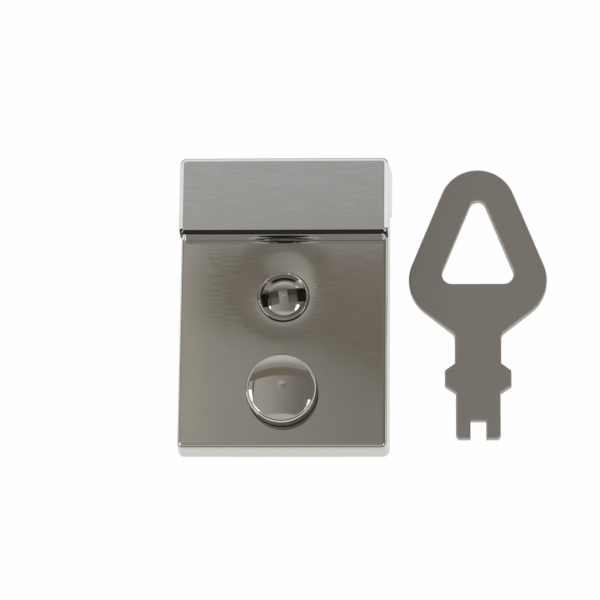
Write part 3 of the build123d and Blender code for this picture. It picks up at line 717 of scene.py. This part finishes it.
@dataclass
class Studio:
    """A white table, a dim ceiling, soft lights and the camera of the photograph."""
    floor_z: float = -4.21
    floor_half: float = 1.5
    floor_rough: float = 0.9
    floor_tones: tuple[str, str] = ("f2f2f1", "fafafa")
    floor_grain_mm: float = 30.0
    floor_glow: float = 0.985
    floor_mirrored: float = 0.75
    room_colour: str = "b5b2ac"
    room: tuple[Patch, ...] = ROOM
    least_height: float = 0.02
    patch_bend_start: float = 0.084
    patch_bend: float = 3.0
    patch_slope: float = 0.15
    camera_at: tuple[float, float, float] = (26.03, -110.09, 436.08)
    camera_right: tuple[float, float, float] = (0.9986, 0.0111, -0.0516)
    camera_up: tuple[float, float, float] = (0.0025, 0.9663, 0.2574)
    focal_px: float = 2996.5
    image_px: float = 600.0
    sensor_mm: float = 36.0
    lights: tuple[Softbox, ...] = (
        Softbox("softbox_left", 193.0, 41.5, 0.38, 0.12, 3.6),
        Softbox("softbox_right", 337.0, 50.0, 0.18, 0.11, 3.6),
    )

    def build(self) -> None:
        """Make the floor, the light and the camera."""
        self.floor()
        self.ceiling()
        for light in self.lights:
            light.build()
        self.camera()
        bpy.context.scene.view_settings.view_transform = "Standard"

    def floor(self) -> None:
        """A white table that keeps a trace of the shadow, and shows white to the camera and in the metal."""
        shape = bmesh.new()
        bmesh.ops.create_grid(shape, x_segments=1, y_segments=1, size=self.floor_half)
        bmesh.ops.translate(shape, verts=shape.verts, vec=(0.0, 0.0, self.floor_z * MM))
        mesh = bpy.data.meshes.new("floor")
        shape.to_mesh(mesh)
        shape.free()
        piece = bpy.data.objects.new("floor", mesh)
        bpy.context.scene.collection.objects.link(piece)
        material, tree, shader = new_material("matt_white_table")
        shader.inputs["Roughness"].default_value = self.floor_rough
        where = add_node(tree, "ShaderNodeTexCoord").outputs["Object"]
        grain = add_node(tree, "ShaderNodeTexNoise", {
            "Vector": where, "Scale": per_mm(self.floor_grain_mm)})
        dark, light = (linear(tone) for tone in self.floor_tones)
        paper = blend(tree, grain.outputs["Fac"], dark, light)
        tree.links.new(paper, shader.inputs["Base Color"])
        path = add_node(tree, "ShaderNodeLightPath").outputs
        mirrored = figure(tree, "MAXIMUM", path["Is Glossy Ray"], path["Is Transmission Ray"])
        shown = figure(tree, "MAXIMUM", figure(tree, "MULTIPLY", path["Is Camera Ray"], self.floor_glow),
                       figure(tree, "MULTIPLY", mirrored, self.floor_mirrored))
        glow = add_node(tree, "ShaderNodeEmission", {"Color": WHITE, "Strength": 1.0})
        mixed = add_node(tree, "ShaderNodeMixShader", {
            0: shown, 1: shader.outputs[0], 2: glow.outputs[0]})
        tree.links.new(mixed.outputs[0], tree.nodes["Material Output"].inputs["Surface"])
        mesh.materials.append(material)

    def ceiling(self) -> None:
        """The room for the metal to mirror, painted patch by patch; the camera itself sees white."""
        world = bpy.data.worlds.new("studio")
        world.use_nodes = True
        tree = world.node_tree
        axes = add_node(tree, "ShaderNodeSeparateXYZ", {
            "Vector": add_node(tree, "ShaderNodeTexCoord").outputs["Generated"]}).outputs
        overhead = figure(tree, "MAXIMUM", axes["Z"], self.least_height)
        across = figure(tree, "DIVIDE", axes["X"], overhead)
        along = figure(tree, "DIVIDE", axes["Y"], overhead)
        bend = figure(tree, "ADD", across, self.patch_bend_start)
        fall = figure(tree, "MULTIPLY", bend, figure(tree, "ADD", figure(
            tree, "MULTIPLY", bend, self.patch_bend), self.patch_slope))
        ways = {Way.ACROSS: across, Way.ALONG: along, Way.CURVED: figure(tree, "ADD", along, fall),
                Way.HEIGHT: axes["Z"], Way.BACK: axes["Y"], Way.RIGHT: axes["X"]}
        sky = linear(self.room_colour)
        for patch in self.room:
            share = None
            for way, none, full in patch.fades:
                step = ease(tree, ways[way], none, full)
                share = step if share is None else figure(tree, "MULTIPLY", share, step)
            sky = blend(tree, share, sky, linear(patch.colour))
        background = tree.nodes["Background"]
        tree.links.new(sky, background.inputs["Color"])
        path = add_node(tree, "ShaderNodeLightPath").outputs
        white = add_node(tree, "ShaderNodeBackground", {"Color": WHITE, "Strength": 1.0})
        mixed = add_node(tree, "ShaderNodeMixShader", {
            0: path["Is Camera Ray"], 1: background.outputs[0], 2: white.outputs[0]})
        tree.links.new(mixed.outputs[0], tree.nodes["World Output"].inputs["Surface"])
        bpy.context.scene.world = world

    def camera(self) -> None:
        """The photograph's camera, fitted to the lock's outline and the key's ends."""
        data = bpy.data.cameras.new("camera")
        data.sensor_width = self.sensor_mm
        data.lens = self.focal_px / self.image_px * self.sensor_mm
        data.clip_start = 0.01
        data.clip_end = 10.0
        right = Vector(self.camera_right).normalized()
        back = right.cross(Vector(self.camera_up)).normalized()
        up = back.cross(right)
        camera = bpy.data.objects.new("camera", data)
        bpy.context.scene.collection.objects.link(camera)
        turn = Matrix((right, up, back)).transposed().to_4x4()
        camera.matrix_world = Matrix.Translation(Vector(self.camera_at) * MM) @ turn
        bpy.context.scene.camera = camera


def main() -> None:
    """Build the sub-assemblies in order, then the studio."""
    for part in (Housing(), KeyBarrel(), PushButton(), LatchWorks(), Hasp(), LooseParts()):
        part.build()
    Studio().build()


if __name__ == "__main__":
    main()
